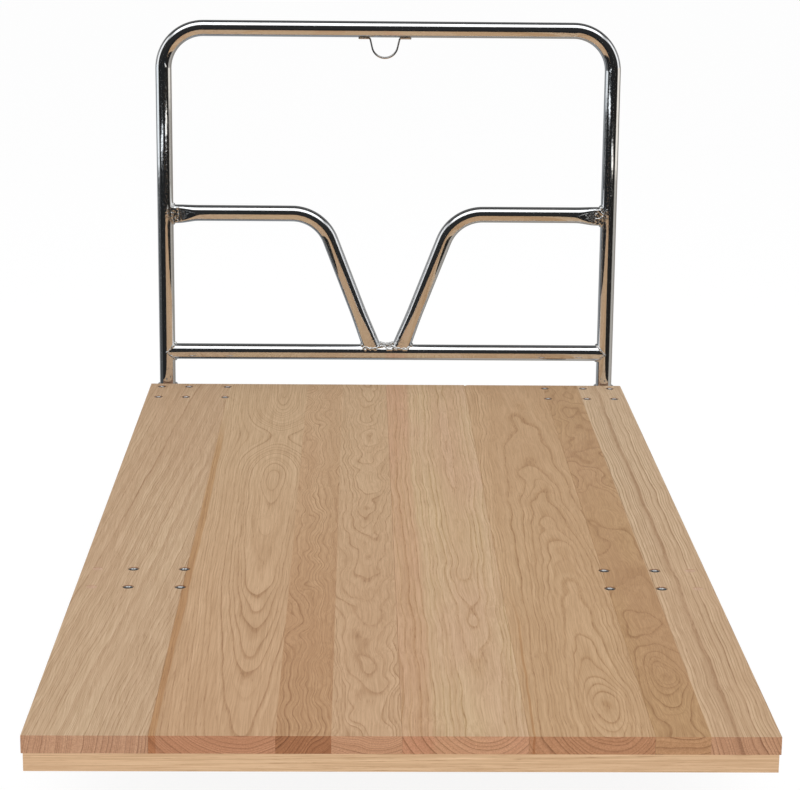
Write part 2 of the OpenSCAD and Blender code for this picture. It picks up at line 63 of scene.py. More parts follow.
# ---- sizes that the boxes don't give, in metres ----
# the handle's tubes
tube_wall = 0.00165
pressed_wall = 0.0014
hoop_bend = 0.0635
bend_steps = 20
arm_z = bar_z + 0.227
lean = math.radians(21)
brace_corner = 0.1075
brace_bend = 0.067
arm_droop = 0.0016
# the bolts: columns in from the deck's sides, and rows along it
caster_columns = (0.0625, 0.1245)
bracket_columns = (0.019,)
front_caster_y = front_y + 0.508
rear_caster_y = rear_y - 0.055
bolt_half_pitch = 0.035
# the boards and the screws under them
board_count = 6
narrow_strip = 0.056
screw_edge = 0.034
screw_row = 0.050
# points closer than this are one
merge_gap = 0.00001


# ---- modelling helpers ----
def clear_picks():
    """Nothing selected, object mode."""
    if bpy.context.mode != "OBJECT":
        bpy.ops.object.mode_set(mode="OBJECT")
    bpy.ops.object.select_all(action="DESELECT")


def pick_only(piece):
    """The piece alone is selected and active."""
    clear_picks()
    bpy.context.view_layer.objects.active = piece
    piece.select_set(True)


def named(name):
    """Names the primitive just added and puts its place into its mesh."""
    piece = bpy.context.object
    piece.name = piece.data.name = name
    bpy.ops.object.transform_apply()
    return piece


def open_mesh(piece):
    """Opens the piece in edit mode."""
    pick_only(piece)
    bpy.ops.object.mode_set(mode="EDIT")


def pick(piece, kind, test):
    """Selects the vertices, edges or faces of the open piece that pass the test."""
    bpy.ops.mesh.select_mode(type=kind)
    bpy.ops.mesh.select_all(action="DESELECT")
    mesh = bmesh.from_edit_mesh(piece.data)
    for item in {"VERT": mesh.verts, "EDGE": mesh.edges, "FACE": mesh.faces}[kind]:
        if test(item):
            item.select_set(True)
    mesh.select_flush_mode()
    bmesh.update_edit_mesh(piece.data)


def finish_with(piece, kind, **settings):
    """Adds a modifier and applies it."""
    pick_only(piece)
    modifier = piece.modifiers.new(kind.lower(), kind)
    for key, value in settings.items():
        setattr(modifier, key, value)
    bpy.ops.object.modifier_apply(modifier=modifier.name)


def smooth(piece, degrees=35):
    """Shades the piece smooth up to an angle between faces."""
    pick_only(piece)
    bpy.ops.object.shade_smooth_by_angle(angle=math.radians(degrees))


def join(pieces, name):
    """Joins pieces into the first one."""
    clear_picks()
    for piece in pieces:
        piece.select_set(True)
    bpy.context.view_layer.objects.active = pieces[0]
    bpy.ops.object.join()
    pieces[0].name = pieces[0].data.name = name
    return pieces[0]


def copy_at(piece, name, turn, place):
    """A copy with its own mesh, turned about Z and moved."""
    twin = piece.copy()
    twin.data = piece.data.copy()
    twin.name = twin.data.name = name
    bpy.context.scene.collection.objects.link(twin)
    twin.data.transform(Matrix.Translation(place) @ Matrix.Rotation(turn, 4, "Z"))
    return twin


def follow(moves):
    """Carries the open outline along runs and turns."""
    bpy.ops.mesh.select_all(action="SELECT")
    for kind, *numbers in moves:
        if kind == "run":
            bpy.ops.mesh.extrude_region_move(TRANSFORM_OT_translate={"value": numbers[0]})
        else:
            centre, axis, degrees, steps = numbers
            bpy.ops.mesh.spin(steps=steps, angle=-math.radians(degrees), center=centre, axis=axis)
    bpy.ops.mesh.select_all(action="SELECT")
    bpy.ops.mesh.remove_doubles(threshold=merge_gap)
    bpy.ops.mesh.normals_make_consistent()


def bent_tube(name, start, heading, moves):
    """A tube that follows the moves from a ring at start, square to heading."""
    sides = 48
    clear_picks()
    turn = Vector(heading).to_track_quat("Z", "Y").to_euler()
    bpy.ops.mesh.primitive_circle_add(vertices=sides, radius=tube, location=start, rotation=turn)
    piece = named(name)
    open_mesh(piece)
    follow(moves)
    return piece


# ---- chromed handle ----
def build_hoop():
    """The bent tube with its two posts."""
    straight = post_x - hoop_bend
    bend_z = top_z - hoop_bend
    rise = bend_z - hoop_low.z
    piece = bent_tube("handle_hoop_tube", (-post_x, handle_y, hoop_low.z), (0, 0, 1), [
        ("run", (0, 0, rise)),
        ("turn", (-straight, handle_y, bend_z), (0, 1, 0), 90, bend_steps),
        ("run", (2 * straight, 0, 0)),
        ("turn", (straight, handle_y, bend_z), (0, 1, 0), 90, bend_steps),
        ("run", (0, 0, -rise)),
    ])
    finish_with(piece, "SOLIDIFY", thickness=tube_wall, offset=-1)
    smooth(piece)
    return piece


def build_crossbar():
    """The straight tube between the posts. Its ends stand a little inside them."""
    inset = 0.004
    inside = post_x - inset
    piece = bent_tube("handle_crossbar_tube", (-inside, handle_y, bar_z), (1, 0, 0),
                      [("run", (2 * inside, 0, 0))])
    finish_with(piece, "SOLIDIFY", thickness=tube_wall, offset=-1)
    smooth(piece)
    return piece


def ease(share):
    """Nought to one with soft ends."""
    share = min(1.0, max(0.0, share))
    return share * share * (3 - 2 * share)


def press_ring(piece, centre, along, amount, thin, width, droop=0.0):
    """Presses one ring of an open tube: flats front and back, and wider across."""
    plane_slack, reach = 0.0004, 0.02
    across = along.cross(Vector((0, 1, 0)))
    ring_axes = (tuple(across), (0, 1, 0), tuple(along))
    half = tube + (thin - tube) * amount

    def here(vertex):
        offset = vertex.co - centre
        return abs(offset.dot(along)) < plane_slack and offset.length < reach

    for side in (-1, 1):
        level = centre + Vector((0, side * half, 0))
        pick(piece, "VERT", lambda vertex: here(vertex) and side * (vertex.co.y - level.y) > 0)
        bpy.ops.transform.resize(value=(1, 0, 1), center_override=level)
    pick(piece, "VERT", here)
    grow = 1 + (width / (2 * tube) - 1) * amount
    bpy.ops.transform.resize(value=(grow, 1, 1), center_override=centre,
                             orient_matrix=ring_axes, orient_matrix_type="LOCAL", orient_type="LOCAL")
    bpy.ops.transform.translate(value=(0, 0, -droop * amount))


def build_brace(name, side):
    """One brace: an arm from the post, a bend and a leg down to the crossbar, both ends pressed flat."""
    step, arm_steps, leg_steps = 0.004, 12, 18
    arm_inset, foot_inset = 0.006, 0.006
    arm_flat, arm_fade, leg_fade = 0.014, 0.034, 0.072
    along = Vector((-side * math.sin(lean), 0, -math.cos(lean)))
    inward = Vector((-side, 0, 0))
    corner = Vector((side * brace_corner, handle_y, arm_z))
    reach = brace_bend * math.tan((math.pi / 2 - lean) / 2)
    bend_start = corner + Vector((side * reach, 0, 0))
    bend_centre = bend_start - Vector((0, 0, brace_bend))
    bend_end = corner + reach * along
    start = Vector((side * (post_x - arm_inset), handle_y, arm_z))
    foot = corner + along * ((arm_z - bar_z - foot_inset) / math.cos(lean))
    arm_rings = [start + inward * step * i for i in range(arm_steps + 1)]
    leg_rings = [foot - along * step * i for i in range(leg_steps, -1, -1)]
    moves = [("run", inward * step)] * arm_steps
    moves.append(("run", bend_start - arm_rings[-1]))
    moves.append(("turn", bend_centre, (0, 1, 0), -side * (90 - math.degrees(lean)), bend_steps))
    moves.append(("run", leg_rings[0] - bend_end))
    moves += [("run", along * step)] * leg_steps
    piece = bent_tube(name, start, inward, moves)
    for i, centre in enumerate(arm_rings):
        amount = 1 - ease((i * step - arm_flat) / arm_fade)
        press_ring(piece, centre, inward, amount, thin=0.0088, width=0.0300, droop=arm_droop)
    for i, centre in enumerate(reversed(leg_rings)):
        press_ring(piece, centre, along, 1 - ease(i * step / leg_fade), thin=0.0110, width=0.0290)
    finish_with(piece, "SUBSURF", levels=1, render_levels=1)
    finish_with(piece, "SOLIDIFY", thickness=pressed_wall, offset=-1)
    smooth(piece, 50)
    return piece


def build_strap():
    """The flat strap bent into a hanging loop that widens upwards, with a tab at each end."""
    clear_picks()
    thick, wide = 0.0026, strap_high.y - strap_low.y
    middle = -0.006
    round_r, corner, flare = 0.0205, 0.0030, math.radians(13)
    corner_steps, round_steps = 6, 28
    tab_bite = 0.0001
    edge_bevel = 0.0011
    level = top_z - tube - thick / 2 + tab_bite
    tab_end = strap_high.x - middle
    bottom = strap_low.z + thick / 2
    wall_top = level - corner + corner * math.sin(flare)
    wall_foot = bottom + round_r - round_r * math.sin(flare)
    drop = wall_top - wall_foot
    spread = drop * math.tan(flare)
    reach = round_r * math.cos(flare) + spread + corner * math.cos(flare)
    turn = 90 - math.degrees(flare)
    bpy.ops.mesh.primitive_plane_add(size=1, location=(middle - tab_end, handle_y, level),
                                     rotation=(0, math.pi / 2, 0))
    bpy.context.object.scale = (thick, wide, 1)
    piece = named("hanging_strap_loop")
    open_mesh(piece)
    follow([
        ("run", (tab_end - reach, 0, 0)),
        ("turn", (middle - reach, handle_y, level - corner), (0, 1, 0), turn, corner_steps),
        ("run", (spread, 0, -drop)),
        ("turn", (middle, handle_y, bottom + round_r), (0, 1, 0), -2 * turn, round_steps),
        ("run", (spread, 0, drop)),
        ("turn", (middle + reach, handle_y, level - corner), (0, 1, 0), turn, corner_steps),
        ("run", (tab_end - reach, 0, 0)),
    ])
    finish_with(piece, "BEVEL", width=edge_bevel, segments=4, limit_method="ANGLE",
                angle_limit=math.radians(50))
    smooth(piece, 40)
    return piece


# ---- weld beads ----
def add_lump(place, size):
    bpy.ops.mesh.primitive_uv_sphere_add(segments=12, ring_count=8, radius=size, location=place)


def weld(name, points, size):
    """A lumpy bead of weld metal along the points."""
    clear_picks()
    add_lump(points[0], size)
    piece = named(name)
    open_mesh(piece)
    for point in points[1:]:
        lump = size * random.uniform(0.75, 1.2)
        nudge = Vector([random.uniform(-0.25, 0.25) * size for _ in range(3)])
        add_lump(point + nudge, lump)
    finish_with(piece, "REMESH", mode="VOXEL", voxel_size=0.0006)
    finish_with(piece, "SMOOTH", factor=0.5, iterations=4)
    smooth(piece, 60)
    return piece


round_angles = [math.radians(a) for a in range(0, 360, 10)]


def pressed_point(angle, half_thick, half_wide):
    """A point on a pressed tube's outline: how far to the front or back, and how far across."""
    squared = math.copysign(abs(math.sin(angle)) ** 0.6, math.sin(angle))
    return half_thick * squared, half_wide * math.cos(angle)


def weld_crossbar(side, word):
    """The bead where the crossbar's end meets a post."""
    lift = 0.0006
    saddle = []
    for angle in round_angles:
        y = tube * math.cos(angle)
        x = post_x - math.sqrt(max(0, tube ** 2 - y ** 2)) - lift
        saddle.append(Vector((side * x, handle_y + y, bar_z + (tube + lift) * math.sin(angle))))
    return weld(f"weld_crossbar_{word}", saddle, 0.0020)


def weld_arm(side, word):
    """The bead round a brace's upper end, on the post."""
    lift = 0.0008
    bead = []
    for angle in round_angles:
        y, z = pressed_point(angle, 0.0089, 0.0155)
        x = post_x - math.sqrt(tube ** 2 - y ** 2) - lift
        bead.append(Vector((side * x, handle_y + y, arm_z + (z - arm_droop))))
    return weld(f"weld_arm_{word}", bead, 0.0023)


def weld_arm_face(side, word, face, where):
    """Drips of weld metal strewn over one flat of a brace's upper end."""
    count, inset, length, depth = 46, 0.0094, 0.0115, 0.0078
    low, high = -0.0135, 0.0105
    drips = []
    for _ in range(count):
        x = post_x - inset - random.uniform(0, length)
        drips.append(Vector((side * x, handle_y + face * depth, arm_z + random.uniform(low, high))))
    return weld(f"weld_arm_{word}_{where}", drips, 0.0022)


def weld_leg(side, word):
    """The bead round a brace's foot, on the crossbar."""
    lift = 0.0006
    foot_x = brace_corner - (arm_z - bar_z) * math.tan(lean)
    bead = []
    for angle in round_angles:
        y, across = pressed_point(angle, 0.0106, 0.0147)
        rise = (math.sqrt(tube ** 2 - y ** 2) + across * math.sin(lean)) / math.cos(lean)
        x = foot_x + across * math.cos(lean) + rise * math.sin(lean)
        z = bar_z - across * math.sin(lean) + rise * math.cos(lean)
        bead.append(Vector((side * x, handle_y + y, z + lift)))
    return weld(f"weld_leg_{word}", bead, 0.0023)


def weld_vee(face, word):
    """The uneven row along the crossbar between the feet of the braces."""
    row_start, row_step, row_count, uneven = -0.0375, 0.0017, 44, 0.0006
    saddle_start, saddle_step, saddle_count = -0.010, 0.002, 11
    saddle_depth, saddle_lift, saddle_rise = 0.0035, 0.0002, 0.0022
    half = saddle_count // 2
    row = []
    for i in range(row_count):
        turn = math.radians(random.uniform(26, 66))
        reach = tube + random.uniform(-uneven, uneven)
        row.append(Vector((row_start + i * row_step, handle_y + face * reach * math.cos(turn),
                           bar_z + reach * math.sin(turn))))
    for i in range(saddle_count):
        rise = saddle_rise * ((i - half) / half) ** 2
        row.append(Vector((saddle_start + i * saddle_step, handle_y + face * saddle_depth,
                           bar_z + tube + saddle_lift + rise)))
    return weld(f"weld_vee_{word}", row, 0.0021)


def weld_strap_tab(face, word, start, count):
    """The seam between one of the strap's tabs and the top tube."""
    step, depth, lift = 0.0012, 0.0056, 0.0004
    seam = [Vector((start + i * step, handle_y + face * depth, top_z - tube + lift)) for i in range(count)]
    return weld(f"weld_strap_{word}_{count}", seam, 0.0017)


def build_welds():
    """All the weld beads of the handle."""
    faces = ((-1, "front"), (1, "back"))
    beads = []
    for side, word in ((-1, "left"), (1, "right")):
        beads.append(weld_crossbar(side, word))
        beads.append(weld_arm(side, word))
        for face, where in faces:
            beads.append(weld_arm_face(side, word, face, where))
        beads.append(weld_leg(side, word))
    for face, word in faces:
        beads.append(weld_vee(face, word))
        for start, count in ((strap_low.x + 0.003, 9), (strap_high.x - 0.017, 13)):
            beads.append(weld_strap_tab(face, word, start, count))
    return beads


# ---- fasteners ----
def cross_cutter():
    """A cross-shaped cutter with a pointed middle, and the pieces that it was made of."""
    blade_length, blade_thick, blade_height, blade_z = 0.0060, 0.0011, 0.0034, 0.0012
    blades = []
    for turn in (0, math.pi / 2):
        clear_picks()
        bpy.ops.mesh.primitive_cube_add(size=1, location=(0, 0, blade_z), rotation=(0, 0, turn))
        bpy.context.object.scale = (blade_length, blade_thick, blade_height)
        blades.append(named("blade"))
    clear_picks()
    bpy.ops.mesh.primitive_cone_add(vertices=12, radius1=0.0003, radius2=0.0022, depth=blade_height,
                                    location=(0, 0, blade_z))
    blades.append(named("blade"))
    for other in blades[1:]:
        finish_with(blades[0], "BOOLEAN", operation="UNION", object=other, solver="EXACT")
    return blades


def build_bolt_head(highlight_metal, rim_shade_metal):
    """A raised countersunk head with a cross recess: painted shade on its outer ring, a painted highlight in
    the middle.
    """
    radius, dome, thick = 0.0067, 0.0016, 0.003
    highlight_share = 0.42
    clear_picks()
    bpy.ops.mesh.primitive_cylinder_add(vertices=40, radius=radius, depth=thick, location=(0, 0, -thick / 2))
    head = named("bolt_head")
    open_mesh(head)
    pick(head, "FACE", lambda face: face.normal.z < -0.9)
    bpy.ops.transform.resize(value=(0.5, 0.5, 1), center_override=(0, 0, -thick))
    pick(head, "FACE", lambda face: face.normal.z > 0.9)
    last, height = radius, 0.0
    for share in (0.98, 0.94, 0.87, 0.76, 0.62, 0.44, 0.22):
        ring = radius * share
        bpy.ops.mesh.inset(thickness=last - ring)
        rise = dome * (1 - (ring / radius) ** 3) ** 0.8
        bpy.ops.transform.translate(value=(0, 0, rise - height))
        last, height = ring, rise
    blades = cross_cutter()
    finish_with(head, "BOOLEAN", operation="DIFFERENCE", object=blades[0], solver="EXACT")
    for blade in blades:
        bpy.data.objects.remove(blade)
    smooth(head, 28)
    head.data.materials.clear()
    head.data.materials.append(highlight_metal)
    head.data.materials.append(rim_shade_metal)
    # painted light: faces beyond the middle take the dark zinc as painted shade of the countersink, the
    # middle keeps the pale zinc as a painted highlight
    for face in head.data.polygons:
        dark = math.hypot(face.center.x, face.center.y) > radius * highlight_share
        face.material_index = 1 if dark else 0
    return head


def build_bolt_heads(highlight_metal, rim_shade_metal):
    """One head for each deck bolt, each turned its own way, listed by CAD node."""
    sink = 0.0014
    head = build_bolt_head(highlight_metal, rim_shade_metal)
    heads = {}
    for node, columns, rows in (("caster_bolts", caster_columns, (front_caster_y, rear_caster_y)),
                                ("bracket_bolts", bracket_columns, (rear_caster_y,))):
        heads[node] = []
        for side in (-1, 1):
            for column in columns:
                for row in rows:
                    for step in (-bolt_half_pitch, bolt_half_pitch):
                        place = Vector((side * (side_x - column), row + step, deck_top - sink))
                        heads[node].append(copy_at(head, "bolt", random.uniform(0, math.pi), place))
    bpy.data.objects.remove(head)
    return heads


def add_bolt(node, heads):
    """Joins one node's heads with their shanks."""
    shank_top, shank_radius, end_bevel = deck_top - 0.004, 0.0032, 0.0006
    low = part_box(node)[0].z
    length = shank_top - low
    shanks = []
    for head in heads:
        middle = sum((Vector(c) for c in head.bound_box), Vector()) / 8
        clear_picks()
        bpy.ops.mesh.primitive_cylinder_add(vertices=20, radius=shank_radius, depth=length,
                                            location=(middle.x, middle.y, low + length / 2))
        shank = named("shank")
        open_mesh(shank)
        pick(shank, "EDGE", lambda edge: all(v.co.z < low + 0.0001 for v in edge.verts))
        bpy.ops.mesh.bevel(offset=end_bevel, segments=1)
        smooth(shank)
        shanks.append(shank)
    return join(heads + shanks, node + "_made")


def screw_columns():
    """The screws across one cleat: how far from the deck's left side, and which of the two rows."""
    width = side_x * 2 / board_count
    columns = []
    for board in (0, 1, 3, 4):
        columns += [(board * width + screw_edge, -1), ((board + 1) * width - screw_edge, 1)]
    for board in (2, 5):
        columns += [(board * width + narrow_strip / 2, -1),
                    (board * width + narrow_strip + (width - narrow_strip) / 2, -1)]
    return columns


def build_wood_screws():
    """The flat screw heads that show in the cleats from below, with their shanks."""
    head_radius, head_thick = 0.0042, 0.003
    rim, recess_edge, recess_depth = 0.0005, 0.0018, 0.0016
    clear_picks()
    low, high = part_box("cleat_screws")
    bpy.ops.mesh.primitive_cylinder_add(vertices=16, radius=head_radius, depth=head_thick,
                                        location=(0, 0, head_thick / 2))
    screw = named("wood_screw")
    open_mesh(screw)
    pick(screw, "FACE", lambda face: face.normal.z > 0.9)
    bpy.ops.transform.resize(value=(0.5, 0.5, 1), center_override=(0, 0, head_thick))
    shank = (0, 0, high.z - low.z - head_thick)
    bpy.ops.mesh.extrude_region_move(TRANSFORM_OT_translate={"value": shank})
    pick(screw, "FACE", lambda face: face.normal.z < -0.9)
    bpy.ops.mesh.inset(thickness=rim)
    bpy.ops.mesh.inset(thickness=recess_edge)
    bpy.ops.mesh.extrude_region_move(TRANSFORM_OT_translate={"value": (0, 0, recess_depth)})
    smooth(screw)
    copies = []
    for cleat in ("front_cleat", "fore_cleat", "aft_cleat", "rear_cleat"):
        cleat_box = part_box(cleat)
        middle = (cleat_box[0].y + cleat_box[1].y) / 2
        for x, row in screw_columns():
            place = Vector((x - side_x, middle + row * screw_row, low.z))
            copies.append(copy_at(screw, "screw", random.uniform(0, 3), place))
    bpy.data.objects.remove(screw)
    return join(copies, "cleat_screws_made")


# ---- shader helpers ----
def wire(tree, source, target):
    tree.links.new(source, target)


def feed(tree, value, socket):
    """Links the value if it is another node's output, and writes it on the socket if not."""
    if isinstance(value, bpy.types.NodeSocket):
        wire(tree, value, socket)
    else:
        socket.default_value = value


def step_in(tree, kind, operation=None, **inputs):
    """Adds a node with its operation and its inputs, given by name."""
    node = tree.nodes.new(kind)
    if operation:
        node.operation = operation
    for key, value in inputs.items():
        feed(tree, value, node.inputs[key.replace("_", " ")])
    return node


def number(tree, operation, *values, clamp=False):
    """A math node's output."""
    node = step_in(tree, "ShaderNodeMath", operation)
    node.use_clamp = clamp
    for value, socket in zip(values, node.inputs):
        feed(tree, value, socket)
    return node.outputs[0]


def plus(tree, a, b):
    return number(tree, "ADD", a, b)


def minus(tree, a, b):
    return number(tree, "SUBTRACT", a, b)


def times(tree, a, b):
    return number(tree, "MULTIPLY", a, b)


def times_plus(tree, a, b, c):
    return number(tree, "MULTIPLY_ADD", a, b, c)


def vector(tree, operation, *values, **scale):
    """A vector math node's output."""
    node = step_in(tree, "ShaderNodeVectorMath", operation, **scale)
    for value, socket in zip(values, node.inputs):
        feed(tree, value, socket)
    return node.outputs["Value" if operation == "LENGTH" else 0]


def noise(tree, place, scale, detail=2.0, rough=0.5, output="Fac"):
    """A noise texture's output. The scale is one number, or three for X, Y and Z."""
    if isinstance(scale, tuple):
        place = vector(tree, "MULTIPLY", place, scale)
        scale = 1.0
    node = step_in(tree, "ShaderNodeTexNoise", Vector=place, Scale=scale, Detail=detail, Roughness=rough)
    return node.outputs[output]


def noise_along(tree, value, scale, detail):
    """Noise that changes with one number only."""
    node = step_in(tree, "ShaderNodeTexNoise", Scale=scale, Detail=detail)
    node.noise_dimensions = "1D"
    wire(tree, value, node.inputs["W"])
    return node.outputs["Fac"]


def above(tree, value, start, slope):
    """Nought up to the start, then rising by the slope up to one."""
    return number(tree, "MULTIPLY", minus(tree, value, start), slope, clamp=True)


def squares(tree, a, b):
    """The sum of two squares."""
    return plus(tree, times(tree, a, a), times(tree, b, b))


def blend_colour(tree, share, a, b):
    """A mix of two colours."""
    node = tree.nodes.new("ShaderNodeMix")
    node.data_type = "RGBA"
    for socket, value in ((node.inputs[0], share), (node.inputs[6], a), (node.inputs[7], b)):
        feed(tree, value, socket)
    return node.outputs[2]


def ramp(tree, value, stops):
    """Greys at given places along the value."""
    node = tree.nodes.new("ShaderNodeValToRGB")
    wire(tree, value, node.inputs[0])
    points = node.color_ramp.elements
    while len(points) < len(stops):
        points.new(0.5)
    for point, (place, shade) in zip(points, stops):
        point.position = place
        point.color = (shade, shade, shade, 1)
    return node.outputs[0]


def between(tree, value, low, high, out_low=0.0, out_high=1.0):
    """A soft step from one number to another as the value goes from low to high."""
    node = step_in(tree, "ShaderNodeMapRange", Value=value, From_Min=low, From_Max=high,
                   To_Min=out_low, To_Max=out_high)
    node.interpolation_type = "SMOOTHSTEP"
    return node.outputs[0]


def split_up(tree, value):
    """The X, Y and Z of a vector."""
    return step_in(tree, "ShaderNodeSeparateXYZ", Vector=value).outputs


def own_place(tree):
    """Where on the piece the point lies."""
    return tree.nodes.new("ShaderNodeTexCoord").outputs["Object"]


def bump(tree, shader, strength, distance, height):
    """Relief on the shader, from a height."""
    node = step_in(tree, "ShaderNodeBump", Strength=strength, Distance=distance, Height=height)
    wire(tree, node.outputs[0], shader.inputs["Normal"])


def bare_material(name):
    """A new material with its tree and its shader."""
    material = bpy.data.materials.new(name)
    material.use_nodes = True
    return material, material.node_tree, material.node_tree.nodes["Principled BSDF"]


# ---- oak ----
def new_group(name, inputs, outputs):
    """A node group, what comes in and what goes out. The inputs are listed by kind."""
    group = bpy.data.node_groups.new(name, "ShaderNodeTree")
    for kind, sockets in inputs.items():
        for label, value in sockets.items():
            socket = group.interface.new_socket(label, in_out="INPUT", socket_type="NodeSocket" + kind)
            socket.default_value = value
    for label, kind in outputs.items():
        group.interface.new_socket(label, in_out="OUTPUT", socket_type="NodeSocket" + kind)
    entry = group.nodes.new("NodeGroupInput")
    leave = group.nodes.new("NodeGroupOutput")
    return group, entry.outputs, leave.inputs


def oak_drift(tree, given, moved):
    """How the rings wander along the board: slowly by Meander, quickly by Curl."""
    slow = noise(tree, moved, (5.0, 1.2, 5.0), 1.5, output="Color")
    slow = vector(tree, "SUBTRACT", slow, (0.5, 0.5, 0.5))
    quick = noise(tree, moved, (24.0, 10.0, 24.0), 1.0, output="Color")
    quick = vector(tree, "SUBTRACT", quick, (0.5, 0.5, 0.5))
    return vector(tree, "ADD", vector(tree, "SCALE", slow, Scale=given["Meander"]),
                  vector(tree, "SCALE", quick, Scale=given["Curl"]))


def oak_rings(tree, given, place, drift):
    """The count of growth rings at a point: its distance from the heart line over the ring width."""
    spot = split_up(tree, place)
    split = split_up(tree, vector(tree, "ADD", place, drift))
    along = split["Y"]
    across = minus(tree, split["X"], given["Heart X"])
    across = times_plus(tree, along, given["Slant"], across)
    depth = minus(tree, deck_top, split["Z"])
    depth = plus(tree, depth, given["Heart Depth"])
    depth = times_plus(tree, along, given["Taper"], depth)
    away = number(tree, "SQRT", squares(tree, across, depth))

    # an eye: the rings part round one spot
    eye_x = number(tree, "DIVIDE", minus(tree, spot["X"], given["Eye X"]), given["Eye Size"])
    eye_y = number(tree, "DIVIDE", minus(tree, spot["Y"], given["Eye Y"]), given["Eye Size"])
    eye_y = times(tree, eye_y, 0.4)
    eye = number(tree, "EXPONENT", times(tree, squares(tree, eye_x, eye_y), -1.0))
    away = times_plus(tree, eye, given["Eye Pull"], away)

    rings = number(tree, "DIVIDE", away, given["Ring Width"])
    uneven = noise_along(tree, plus(tree, rings, given["Seed"]), 0.22, 1.0)
    return times_plus(tree, uneven, 4.0, rings)


def oak_spring_wood(tree, rings):
    """How dark the spring wood is at a point, some years more than others."""
    phase = number(tree, "FRACT", rings)
    year = step_in(tree, "ShaderNodeTexWhiteNoise")
    year.noise_dimensions = "1D"
    wire(tree, number(tree, "FLOOR", rings), year.inputs["W"])
    year = times_plus(tree, year.outputs["Value"], 0.9, 0.4)
    shades = [(0.0, 0.18), (0.05, 1.0), (0.13, 0.8), (0.27, 0.28), (0.7, 0.04), (1.0, 0.14)]
    return times(tree, ramp(tree, phase, shades), year)


def oak_pores(tree, given, grain, early):
    """Pores: short dark dashes along the grain, crowded in the spring wood."""
    dashes = noise(tree, grain, (1400.0, 45.0, 1400.0), 2.0, 0.6)
    gate = times_plus(tree, early, -0.17, 0.67)
    return times(tree, above(tree, dashes, gate, 9.0), given["Pore Strength"])


def oak_colour(tree, given, moved, grain, rings, early, pores, fibre):
    """The wood's colour before any streak: years, tinges, pores, fibres, rays and saw strokes."""
    tone = noise(tree, moved, (12.0, 2.0, 12.0), 3.0, 0.55)
    tone = between(tree, tone, 0.32, 0.68)
    band = noise_along(tree, plus(tree, rings, 40.0), 0.35, 2.0)
    band = between(tree, band, 0.35, 0.68)
    rays = above(tree, noise(tree, grain, (800.0, 60.0, 800.0), 1.0), 0.66, 7.0)
    strokes = noise(tree, moved, (14.0, 900.0, 14.0), 2.0)
    strokes = above(tree, strokes, 0.68, 6.0)

    spring = times(tree, early, given["Contrast"])
    colour = blend_colour(tree, spring, given["Light"], given["Dark"])
    colour = blend_colour(tree, times(tree, tone, 0.7), colour, given["Tinge"])
    deeper = blend_colour(tree, 0.5, given["Dark"], given["Tinge"])
    colour = blend_colour(tree, times(tree, band, 0.45), colour, deeper)
    brown = blend_colour(tree, pores, (1, 1, 1, 1), (0.55, 0.42, 0.32, 1))
    colour = vector(tree, "MULTIPLY", colour, brown)
    fibre = between(tree, fibre, 0.28, 0.72)
    shade = blend_colour(tree, fibre, (0.88, 0.85, 0.80, 1), (1.145, 1.19, 1.24, 1))
    colour = vector(tree, "MULTIPLY", colour, shade)
    flecks = times_plus(tree, rays, -0.07, 1.0)
    flecks = times_plus(tree, strokes, -0.07, flecks)
    return vector(tree, "SCALE", colour, Scale=flecks)


def oak_streak(tree, given, place, drift, colour):
    """A mineral streak along the grain, from the front as far as Streak End."""
    spot = split_up(tree, place)
    wander = split_up(tree, drift)["X"]
    beside = minus(tree, times_plus(tree, wander, 0.8, spot["X"]), given["Streak X"])
    beside = number(tree, "DIVIDE", number(tree, "ABSOLUTE", beside), given["Streak Width"])
    fade = between(tree, minus(tree, spot["Y"], given["Streak End"]), 0.12, -0.12)
    streak = times(tree, between(tree, beside, 1.1, 0.75), fade)
    return blend_colour(tree, times(tree, streak, 0.8), colour,
                        vector(tree, "MULTIPLY", colour, given["Streak Tint"]))


def oak_edges(tree, given, early, colour):
    """The sawn ends get their own tint, and the broken edges are a little paler: painted light that softens
    the shade in the joints.
    """
    facing = split_up(tree, given["Facing"])
    ends = between(tree, number(tree, "ABSOLUTE", facing["Y"]), 0.5, 0.8)
    sawn = vector(tree, "MULTIPLY", colour, given["Sawn End"])
    sawn = vector(tree, "SCALE", sawn, Scale=times_plus(tree, early, -0.22, 1.06))
    colour = blend_colour(tree, ends, colour, sawn)
    upright = number(tree, "ABSOLUTE", facing["Z"])
    # painted light: the chamfers between flat and upright faces are made paler, against the shade in the
    # joints between strips
    chamfer_light = times(tree, between(tree, upright, 0.2, 0.4), between(tree, upright, 0.95, 0.85))
    return vector(tree, "SCALE", colour, Scale=times_plus(tree, chamfer_light, 0.12, 1.0))


